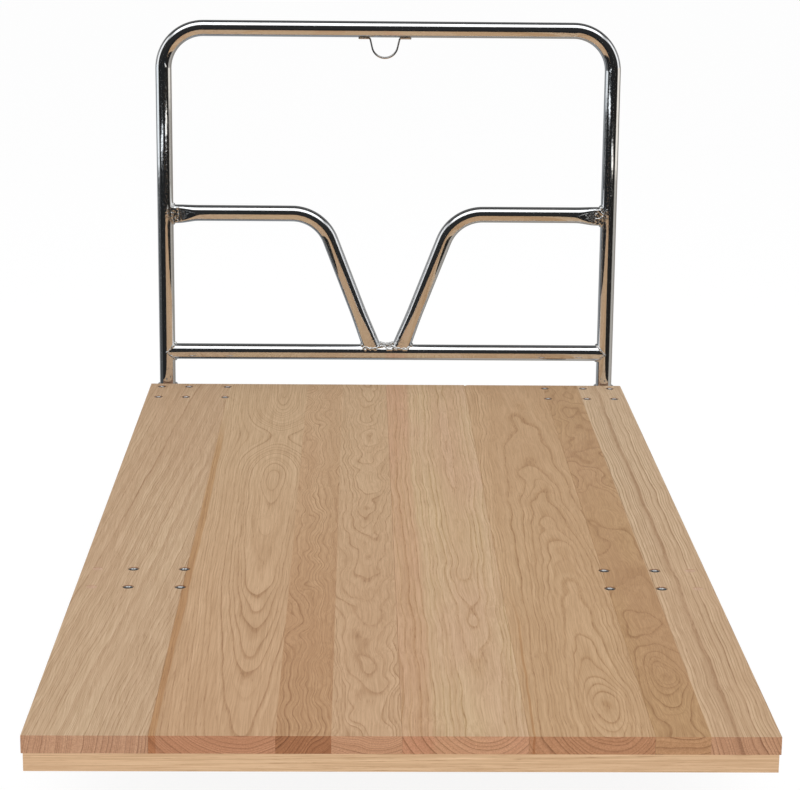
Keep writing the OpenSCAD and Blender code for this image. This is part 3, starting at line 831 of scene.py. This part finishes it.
def oak_group():
    """Oak: growth rings about a heart line along Y, with pores, rays, fibres, an eye and a streak, and
    painted light that changes from the front of the strip to the back.
    """
    tree, given, out = new_group("oak_figure", {
        "Vector": {"Place": (0, 0, 0), "Facing": (0, 0, 0)},
        "Float": {
            "Heart X": 0.0, "Heart Depth": 0.05, "Taper": 0.02, "Slant": 0.0, "Ring Width": 0.004,
            "Meander": 0.012, "Curl": 0.001, "Seed": 0.0, "Contrast": 0.5, "Pore Strength": 0.5,
            "Eye X": 9.0, "Eye Y": 0.0, "Eye Size": 0.04, "Eye Pull": 0.0,
            "Streak X": 9.0, "Streak Width": 0.004, "Streak End": 0.0},
        "Color": {
            "Light": (0.6, 0.45, 0.3, 1), "Dark": (0.4, 0.25, 0.14, 1), "Tinge": (0.55, 0.36, 0.25, 1),
            "Streak Tint": (0.83, 0.69, 0.50, 1), "Sawn End": (0.9, 0.72, 0.65, 1),
            "Near Tone": (1, 1, 1, 1), "Far Tone": (1, 1, 1, 1)},
    }, {"Color": "Color", "Roughness": "Float", "Height": "Float"})
    place, seed = given["Place"], given["Seed"]
    seeded = step_in(tree, "ShaderNodeCombineXYZ", X=seed, Y=seed, Z=seed).outputs[0]
    moved = vector(tree, "ADD", place, seeded)
    drift = oak_drift(tree, given, moved)
    rings = oak_rings(tree, given, place, drift)
    early = oak_spring_wood(tree, rings)
    grain = vector(tree, "ADD", moved, vector(tree, "SCALE", drift, Scale=0.9))
    pores = oak_pores(tree, given, grain, early)
    fibre = noise(tree, grain, (700.0, 9.0, 700.0), 3.0, 0.7)

    colour = oak_colour(tree, given, moved, grain, rings, early, pores, fibre)
    # painted light: the colour is scaled by one tone at the front of the strip and another at the back, paler
    # at the back on most strips
    nearness = between(tree, split_up(tree, place)["Y"], rear_y, front_y)
    depth_light = blend_colour(tree, nearness, given["Far Tone"], given["Near Tone"])
    colour = vector(tree, "MULTIPLY", colour, depth_light)
    colour = oak_streak(tree, given, place, drift, colour)
    wire(tree, oak_edges(tree, given, early, colour), out["Color"])

    rough = times_plus(tree, pores, 0.15, 0.48)
    wire(tree, times_plus(tree, fibre, 0.12, rough), out["Roughness"])
    height = times_plus(tree, pores, -0.8, times(tree, fibre, 0.3))
    wire(tree, times_plus(tree, early, -0.15, height), out["Height"])
    return tree


def oak(name, group, crosswise=False, **values):
    """One strip's oak: the figure group with that strip's own numbers. Crosswise grain runs along X."""
    material, tree, shader = bare_material(name)
    figure = tree.nodes.new("ShaderNodeGroup")
    figure.node_tree = group
    facing = tree.nodes.new("ShaderNodeNewGeometry").outputs["Normal"]
    for source, label in ((own_place(tree), "Place"), (facing, "Facing")):
        if crosswise:
            parts = split_up(tree, source)
            swapped = step_in(tree, "ShaderNodeCombineXYZ", X=parts["Y"], Y=parts["X"], Z=parts["Z"])
            source = swapped.outputs[0]
        wire(tree, source, figure.inputs[label])
    for key, value in values.items():
        colour = isinstance(value, tuple)
        figure.inputs[key.replace("_", " ")].default_value = (*value, 1) if colour else value
    wire(tree, figure.outputs["Color"], shader.inputs["Base Color"])
    wire(tree, figure.outputs["Roughness"], shader.inputs["Roughness"])
    bump(tree, shader, 0.35, 0.0004, figure.outputs["Height"])
    shader.inputs["Coat Weight"].default_value = 0.08
    shader.inputs["Coat Roughness"].default_value = 0.4
    return material


# ---- metal, rubber and plastic ----
def metal(name, colour, rough, pit_size, pit, ripple, bare=1.0, crumpled=()):
    """Plated metal with fine pits, faint ripples and uneven gloss, crumpled about each (place, radius)."""
    material, tree, shader = bare_material(name)
    place = own_place(tree)
    shader.inputs["Metallic"].default_value = bare
    gloss = times_plus(tree, noise(tree, place, 35.0, 4.0, 0.6), rough, rough * 0.5)
    pits = above(tree, noise(tree, place, pit_size, 1.0), 0.66, 8.0)
    deep = tuple(c * 0.55 for c in colour)
    pitted = blend_colour(tree, times(tree, pits, pit), (*colour, 1), (*deep, 1))
    wire(tree, pitted, shader.inputs["Base Color"])
    slow = noise(tree, place, 60.0, 2.0)
    grit = above(tree, noise(tree, place, 210.0, 2.0), 0.62, 5.0)
    height = times_plus(tree, pits, -0.3 * pit, times(tree, slow, ripple))
    height = times_plus(tree, grit, ripple * 0.35, height)
    dull = 0.0
    for spot, radius in crumpled:
        away = vector(tree, "LENGTH", vector(tree, "SUBTRACT", place, tuple(spot)))
        patch = between(tree, away, radius, radius * 0.45)
        lumps = noise(tree, place, 230.0, 2.0, 0.6)
        height = times_plus(tree, patch, times(tree, lumps, 2.2), height)
        dull = number(tree, "MAXIMUM", dull, patch)
    if crumpled:
        gloss = times_plus(tree, dull, 0.16, gloss)
    wire(tree, gloss, shader.inputs["Roughness"])
    bump(tree, shader, 0.3, 0.0012 if crumpled else 0.0006, height)
    return material


def moulded(name, colour, rough, grain):
    """Moulded rubber or plastic with a fine grain and dust in patches."""
    material, tree, shader = bare_material(name)
    place = own_place(tree)
    patches = between(tree, noise(tree, place, 28.0, 4.0, 0.6), 0.42, 0.72)
    dusty = tuple(min(1, c * 1.5 + 0.03) for c in colour)
    dusted = blend_colour(tree, times(tree, patches, 0.5), (*colour, 1), (*dusty, 1))
    wire(tree, dusted, shader.inputs["Base Color"])
    wire(tree, times_plus(tree, patches, 0.2, rough), shader.inputs["Roughness"])
    bump(tree, shader, 0.25, 0.0004, noise(tree, place, grain, 2.0))
    return material


def paint(piece, material):
    """Puts one material on a piece or a CAD node."""
    if piece.data.materials:
        for slot in piece.material_slots:
            slot.material = material
    else:
        piece.data.materials.append(material)


# ---- camera, light, floor ----
def place_camera():
    """A long lens in front of the deck, a little to its left, looking slightly down."""
    data = bpy.data.cameras.new("camera")
    data.sensor_width = 36
    data.lens = 106.48
    data.clip_start = 0.05
    data.clip_end = 200
    camera = bpy.data.objects.new("camera", data)
    bpy.context.scene.collection.objects.link(camera)
    stand = (-0.0464, front_y - 2.2182, deck_top + 0.8866)
    yaw, pitch, roll = math.radians(1.057), math.radians(13.575), math.radians(0.533)
    ahead = Vector((math.sin(yaw) * math.cos(pitch), math.cos(yaw) * math.cos(pitch), -math.sin(pitch)))
    right = ahead.cross(Vector((0, 0, 1))).normalized()
    up = right.cross(ahead)
    tilted = right * math.cos(roll) + up * math.sin(roll)
    raised = up * math.cos(roll) - right * math.sin(roll)
    turn = Matrix((tilted, raised, -ahead)).transposed().to_4x4()
    camera.matrix_world = Matrix.Translation(stand) @ turn
    bpy.context.scene.camera = camera
    bpy.context.scene.view_settings.view_transform = "Standard"


def ring_of(tree, value, low, high, edge):
    """One inside low to high, fading to nought over the edge."""
    rise = between(tree, value, low - edge, low + edge)
    fall = between(tree, value, high - edge, high + edge)
    return times(tree, rise, minus(tree, 1.0, fall))


def light_world():
    """The surroundings. Polished metal sees softboxes and dark walls, the rest an even light."""
    even_light, white = (0.62, 0.62, 0.63, 1), (1, 1, 1, 1)
    dark_wall, overhead_light = 0.025, 1.5
    world = bpy.data.worlds.new("studio")
    bpy.context.scene.world = world
    world.use_nodes = True
    tree = world.node_tree
    sky = tree.nodes["Background"]
    split = split_up(tree, tree.nodes.new("ShaderNodeTexCoord").outputs["Generated"])
    sideways = number(tree, "ABSOLUTE", split["X"])

    # a softbox overhead, one at each side, and a pale wall at the back
    lift = number(tree, "ARCTAN2", split["Z"], times(tree, split["Y"], -1.0))
    over = ring_of(tree, lift, math.radians(52), math.radians(94), 0.03)
    over = times(tree, over, between(tree, sideways, 0.85, 0.6))
    sides = ring_of(tree, split["Y"], -0.24, 0.27, 0.04)
    sides = times(tree, sides, between(tree, sideways, 0.7, 0.8))
    sides = times(tree, sides, between(tree, split["Z"], 0.7, 0.5))
    back = between(tree, split["Y"], 0.3, 0.5)
    back = times(tree, back, between(tree, split["Z"], 0.5, 0.05, 0.09, 0.34))
    light = times_plus(tree, over, overhead_light, dark_wall)
    light = plus(tree, light, sides)
    light = plus(tree, light, back)

    path = tree.nodes.new("ShaderNodeLightPath").outputs
    shown = step_in(tree, "ShaderNodeCombineColor", Red=light, Green=light, Blue=light).outputs[0]
    seen = blend_colour(tree, path["Is Diffuse Ray"], shown, even_light)
    wire(tree, blend_colour(tree, path["Is Camera Ray"], seen, white), sky.inputs["Color"])
    sky.inputs["Strength"].default_value = 1.0


def add_softboxes():
    """Two square lamps that light the piece and show in no reflection."""
    for name, place, aim, size, power in (
            ("overhead_softbox", (0.2, -0.3, 3.2), (0, 0, 0.2), 2.6, 34),
            ("front_softbox", (-0.6, -4.6, 3.0), (0, -0.4, 0.3), 1.8, 60)):
        data = bpy.data.lights.new(name, "AREA")
        data.size = size
        data.energy = power
        lamp = bpy.data.objects.new(name, data)
        bpy.context.scene.collection.objects.link(lamp)
        aimed = Vector(aim) - Vector(place)
        turn = aimed.to_track_quat("-Z", "Y").to_matrix().to_4x4()
        lamp.matrix_world = Matrix.Translation(place) @ turn
        lamp.visible_glossy = False


def mirrored_floor(tree):
    """Painted reflections: a glow on the floor that only polished metal sees, dark, paler at the sides, with
    two bright patches.
    """
    painted_reflection_dark, patch_light, patch_depth = 0.018, 1.4, 0.36
    split = split_up(tree, own_place(tree))
    away = minus(tree, handle_y, split["Y"])
    turned = number(tree, "ARCTAN2", split["X"], away)
    swung = number(tree, "ABSOLUTE", turned)
    gone = number(tree, "SQRT", squares(tree, split["X"], away))
    far = between(tree, gone, 4.2, 4.9)
    near = minus(tree, 1.0, far)
    near_sides = times_plus(tree, between(tree, turned, -0.4, 0.6), 0.36, 0.06)
    beside = plus(tree, times(tree, far, 0.95), times(tree, near, near_sides))
    light = times(tree, ring_of(tree, swung, 1.30, 1.98, 0.05), beside)
    light = plus(tree, light, between(tree, swung, 1.95, 2.05, 0.0, 0.28))
    light = plus(tree, light, painted_reflection_dark)
    for heading, spread, distance in ((-0.60, 0.34, 5.0), (0.50, 0.30, 4.5)):
        across = number(tree, "DIVIDE", minus(tree, turned, heading), spread)
        along = number(tree, "DIVIDE", minus(tree, gone, distance), patch_depth)
        patch = between(tree, squares(tree, across, along), 1.1, 0.6, 0.0, patch_light)
        light = plus(tree, light, patch)
    warmth = between(tree, turned, 0.1, 0.7)
    tint = blend_colour(tree, warmth, (0.93, 0.97, 1.0, 1), (1.0, 0.93, 0.84, 1))
    return step_in(tree, "ShaderNodeEmission", Color=tint, Strength=light).outputs[0]


def build_floor():
    """A white floor that takes the object's shadow."""
    clear_picks()
    bpy.ops.mesh.primitive_plane_add(size=80)
    floor = named("floor")
    material, tree, shader = bare_material("floor_white")
    shader.inputs["Base Color"].default_value = (0.86, 0.86, 0.86, 1)
    shader.inputs["Roughness"].default_value = 0.9
    path = tree.nodes.new("ShaderNodeLightPath").outputs
    glow = step_in(tree, "ShaderNodeEmission", Strength=1.06)
    seen = tree.nodes.new("ShaderNodeMixShader")
    wire(tree, times(tree, path["Is Camera Ray"], 0.85), seen.inputs[0])
    wire(tree, shader.outputs[0], seen.inputs[1])
    wire(tree, glow.outputs[0], seen.inputs[2])
    last = tree.nodes.new("ShaderNodeMixShader")
    # glossy rays see the painted reflections instead of the white floor
    wire(tree, path["Is Glossy Ray"], last.inputs[0])
    wire(tree, seen.outputs[0], last.inputs[1])
    wire(tree, mirrored_floor(tree), last.inputs[2])
    wire(tree, last.outputs[0], tree.nodes["Material Output"].inputs["Surface"])
    paint(floor, material)


place_camera()
light_world()
add_softboxes()
build_floor()

# ---- materials ----
pressed_ends = [(Vector((side * (post_x - tube - 0.006), handle_y, arm_z)), 0.026) for side in (-1, 1)]
pressed_ends += [(Vector((side * 0.022, handle_y, bar_z + tube + 0.004)), 0.020) for side in (-1, 1)]
chrome = metal("chrome_plate", (0.86, 0.875, 0.89), 0.045, 900.0, 0.5, 0.12, crumpled=pressed_ends)
weld_chrome = metal("chrome_weld", (0.80, 0.80, 0.79), 0.16, 700.0, 0.6, 0.8)
strap_plate = metal("strap_plate", (0.90, 0.90, 0.89), 0.20, 900.0, 0.5, 0.5)
zinc = metal("zinc_plate", (0.66, 0.67, 0.69), 0.34, 1200.0, 0.5, 0.3, 0.8)
bright_zinc = metal("zinc_bright", (0.94, 0.94, 0.94), 0.13, 1500.0, 0.4, 0.2, 0.92)
# near-white, half-diffuse zinc: a painted highlight in the bolt heads' middles, and the plain plating of the
# wood screws
bolt_zinc_and_highlight = metal("bolt_zinc_and_highlight", (0.97, 0.97, 0.96), 0.17, 1500.0, 0.4, 0.2, 0.55)
# dark zinc: painted shade round the bolt heads' rims
bolt_rim_shade = metal("bolt_rim_painted_shade", (0.34, 0.345, 0.35), 0.20, 1500.0, 0.4, 0.3, 0.95)
rubber = moulded("tyre_rubber", (0.035, 0.035, 0.037), 0.62, 1400.0)
core_plastic = moulded("core_plastic", (0.16, 0.165, 0.17), 0.42, 1800.0)
bush_bronze = metal("bush_bronze", (0.55, 0.40, 0.20), 0.40, 1600.0, 0.6, 0.3)
figure = oak_group()

# ---- handle ----
hoop = build_hoop()
crossbar = build_crossbar()
brace_left = build_brace("handle_brace_left_tube", -1)
brace_right = build_brace("handle_brace_right_tube", 1)
strap = build_strap()
beads = build_welds()
for piece, node in ((hoop, "handle_hoop"), (crossbar, "handle_crossbar"), (brace_left, "handle_brace_left"),
                    (brace_right, "handle_brace_right"), (strap, "hanging_strap")):
    paint(piece, strap_plate if piece is strap else chrome)
    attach(piece, "handle")
    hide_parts(node)
for bead in beads:
    paint(bead, weld_chrome)
    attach(bead, "handle")

# ---- fasteners in the deck ----
for node, heads in build_bolt_heads(bolt_zinc_and_highlight, bolt_rim_shade).items():
    bolts = add_bolt(node, heads)
    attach(bolts, "deck")
    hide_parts(node)
screws = build_wood_screws()
paint(screws, bolt_zinc_and_highlight)
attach(screws, "deck")
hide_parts("cleat_screws")

# ---- wood: each strip has its own figure and colours ----
strips = {
    "deck_board_1": dict(
        Heart_X=-0.46, Heart_Depth=0.03, Taper=0.02, Slant=-0.08, Ring_Width=0.0032, Meander=0.02, Curl=0.006,
        Light=(0.585, 0.412, 0.255), Dark=(0.37, 0.215, 0.11), Tinge=(0.53, 0.35, 0.21), Contrast=1.15,
        Near_Tone=(0.98, 0.98, 0.98), Far_Tone=(0.99, 0.97, 0.95), Sawn_End=(0.95, 0.75, 0.7), Seed=1.3),
    "deck_board_2": dict(
        Heart_X=-0.165, Heart_Depth=0.03, Taper=-0.035, Ring_Width=0.0034, Meander=0.018, Curl=0.004,
        Eye_X=-0.165, Eye_Y=0.4, Eye_Size=0.05, Eye_Pull=0.04,
        Streak_X=-0.25, Streak_Width=0.0046, Streak_End=0.42,
        Light=(0.585, 0.395, 0.235), Dark=(0.37, 0.21, 0.1), Tinge=(0.52, 0.335, 0.19), Contrast=1.15,
        Near_Tone=(0.98, 0.93, 0.9), Far_Tone=(1.05, 1.09, 1.10), Sawn_End=(0.94, 0.69, 0.62), Seed=4.1),
    "deck_board_3_narrow": dict(
        Heart_X=-0.14, Heart_Depth=0.045, Taper=0.02, Ring_Width=0.0028, Meander=0.02, Curl=0.03,
        Light=(0.545, 0.35, 0.2), Dark=(0.33, 0.175, 0.08), Tinge=(0.48, 0.285, 0.155), Contrast=1.3,
        Near_Tone=(0.93, 0.86, 0.78), Far_Tone=(1.10, 1.16, 1.19), Sawn_End=(0.8, 0.56, 0.44), Seed=7.7),
    "deck_board_3_wide": dict(
        Heart_X=-0.03, Heart_Depth=0.042, Taper=-0.03, Ring_Width=0.003, Meander=0.025, Curl=0.018,
        Light=(0.59, 0.4, 0.245), Dark=(0.38, 0.215, 0.105), Tinge=(0.53, 0.34, 0.2), Contrast=1.2,
        Near_Tone=(0.95, 0.91, 0.87), Far_Tone=(1.03, 1.06, 1.04), Sawn_End=(1.04, 0.85, 0.8), Seed=2.9),
    "deck_board_4": dict(
        Heart_X=0.085, Heart_Depth=0.012, Taper=-0.028, Ring_Width=0.0058, Meander=0.022, Curl=0.01,
        Streak_X=0.006, Streak_Width=0.026, Streak_End=2.0, Streak_Tint=(0.97, 0.87, 0.86),
        Light=(0.6, 0.425, 0.262), Dark=(0.43, 0.27, 0.12), Tinge=(0.57, 0.36, 0.235), Contrast=0.95,
        Near_Tone=(0.95, 0.93, 0.88), Far_Tone=(1.02, 1.01, 0.98), Sawn_End=(1.0, 0.76, 0.7), Seed=9.2),
    "deck_board_5": dict(
        Heart_X=0.205, Heart_Depth=0.048, Taper=0.03, Ring_Width=0.004, Meander=0.024, Curl=0.009,
        Eye_X=0.222, Eye_Y=-0.7, Eye_Size=0.03, Eye_Pull=-0.016,
        Streak_X=0.136, Streak_Width=0.0012, Streak_End=-0.42,
        Light=(0.575, 0.385, 0.222), Dark=(0.36, 0.2, 0.085), Tinge=(0.51, 0.32, 0.175), Contrast=1.2,
        Near_Tone=(0.98, 0.96, 0.93), Far_Tone=(1.02, 1.01, 1.00), Sawn_End=(0.93, 0.7, 0.62), Seed=5.5),
    "deck_board_6_narrow": dict(
        Heart_X=0.285, Heart_Depth=0.09, Taper=0.03, Ring_Width=0.0044, Meander=0.03, Curl=0.022,
        Eye_X=0.283, Eye_Y=-0.6, Eye_Size=0.022, Eye_Pull=-0.022,
        Light=(0.51, 0.322, 0.165), Dark=(0.31, 0.165, 0.065), Tinge=(0.45, 0.262, 0.14), Contrast=1.25,
        Near_Tone=(0.97, 0.94, 0.87), Far_Tone=(1.03, 1.03, 1.04), Sawn_End=(1.08, 0.96, 0.94), Seed=3.4),
    "deck_board_6_wide": dict(
        Heart_X=0.45, Heart_Depth=0.03, Taper=0.0, Ring_Width=0.0042, Meander=0.012, Curl=0.008,
        Light=(0.63, 0.455, 0.29), Dark=(0.33, 0.185, 0.09), Tinge=(0.58, 0.395, 0.245), Contrast=1.5,
        Near_Tone=(0.94, 0.9, 0.85), Far_Tone=(1.04, 1.07, 1.08), Sawn_End=(0.94, 0.74, 0.68), Seed=8.1),
}
cleat_wood = dict(
    Heart_Depth=0.2, Ring_Width=0.0026, Contrast=0.6,
    Light=(0.71, 0.465, 0.268), Dark=(0.56, 0.33, 0.165), Tinge=(0.67, 0.425, 0.245),
    Sawn_End=(0.86, 0.8, 0.77))
plug_wood = dict(
    Light=(0.56, 0.375, 0.25), Dark=(0.43, 0.25, 0.155), Tinge=(0.54, 0.33, 0.215),
    Ring_Width=0.003, Contrast=0.7, Seed=12.0)

for name, values in strips.items():
    paint(nodes[name], oak("oak_" + name, figure, **values))
for count, name in enumerate(("front_cleat", "fore_cleat", "aft_cleat", "rear_cleat")):
    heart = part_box(name)[0].y - 0.02
    wood = oak("oak_" + name, figure, crosswise=True, Heart_X=heart, Seed=6.0 + count, **cleat_wood)
    paint(nodes[name], wood)
paint(nodes["hole_plugs"], oak("oak_plugs", figure, **plug_wood))

# ---- the CAD's own casters, brackets and small parts ----
looks = {"tyre": rubber, "wheel_core": core_plastic, "wheel_bush": bush_bronze}
looks.update(dict.fromkeys(("fork", "plate", "socket"), zinc))
looks.update(dict.fromkeys(("nut", "axle", "kingpin", "race"), bright_zinc))
for name, node in nodes.items():
    for word, look in looks.items():
        if word in name:
            paint(node, look)
            break
